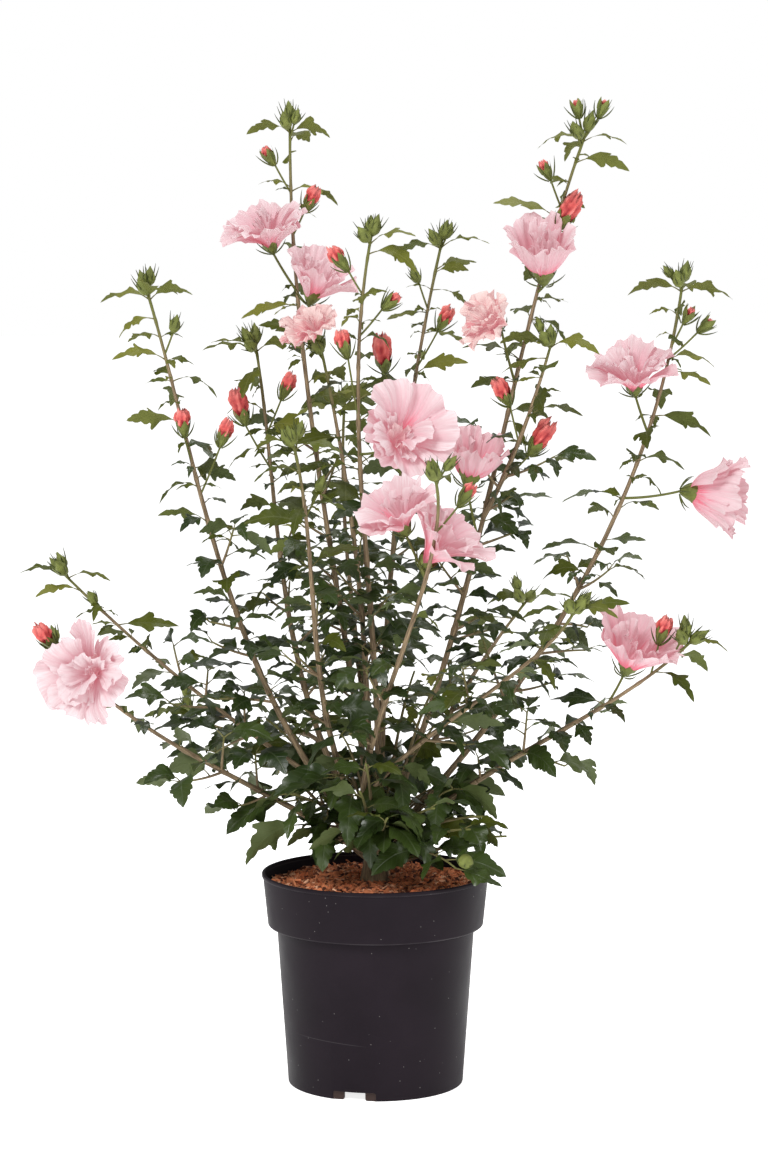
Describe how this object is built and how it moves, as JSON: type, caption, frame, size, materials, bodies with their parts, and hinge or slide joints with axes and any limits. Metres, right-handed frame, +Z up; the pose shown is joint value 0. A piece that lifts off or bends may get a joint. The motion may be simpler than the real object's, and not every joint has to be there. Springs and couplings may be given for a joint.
{
  "type": "potted rose of sharon shrub",
  "caption": "Open flowering shrub of many slender stems with double pink flowers and lobed leaves, in a round tapered nursery pot.",
  "frame": {"origin": "on the ground under the middle of the pot", "axes": "+Z up, -Y towards the front, +X to the right seen from the front"},
  "size_m": [0.7512, 0.5479, 0.9993],
  "materials": {
    "pot": "dull black moulded nursery-pot plastic",
    "fill": "loose reddish-brown bark and fibre chips",
    "bark": "thin grey-tan bark with lengthwise streaks and swollen nodes",
    "foliage": "green lobed leaves on slender twigs with pink flowers and buds"
  },
  "bodies": {
    "root": {"pot": "pot", "soil": "fill", "trunk": "bark", "bough_back_middle": "bark", "bough_back_right": "bark", "bough_back_right_tall": "bark", "bough_front": "bark", "bough_front_left": "bark", "bough_front_right": "bark", "bough_left_fan": "bark", "bough_left_inner": "bark", "bough_left_short": "bark", "bough_left_tall": "bark", "bough_low_left": "bark", "bough_low_right": "bark", "bough_mid_left": "bark", "bough_middle": "bark", "bough_right_inner": "bark", "bough_right_tall": "bark", "bough_tall_left": "bark", "bough_tall_right": "bark", "shoot_back_middle": "foliage", "shoot_back_right": "foliage", "shoot_back_right_tall": "foliage", "shoot_front": "foliage", "shoot_front_left": "foliage", "shoot_front_right": "foliage", "shoot_left_fan": "foliage", "shoot_left_inner": "foliage", "shoot_left_short": "foliage", "shoot_left_tall": "foliage", "shoot_low_left": "foliage", "shoot_low_right": "foliage", "shoot_mid_left": "foliage", "shoot_middle": "foliage", "shoot_right_inner": "foliage", "shoot_right_tall": "foliage", "shoot_tall_left": "foliage", "shoot_tall_right": "foliage", "basal_01": "foliage", "basal_02": "foliage", "basal_03": "foliage", "basal_04": "foliage", "basal_05": "foliage", "basal_06": "foliage", "basal_07": "foliage", "basal_08": "foliage", "basal_09": "foliage", "basal_10": "foliage", "basal_11": "foliage", "basal_12": "foliage", "basal_13": "foliage", "basal_14": "foliage"}
  },
  "joints": []
}
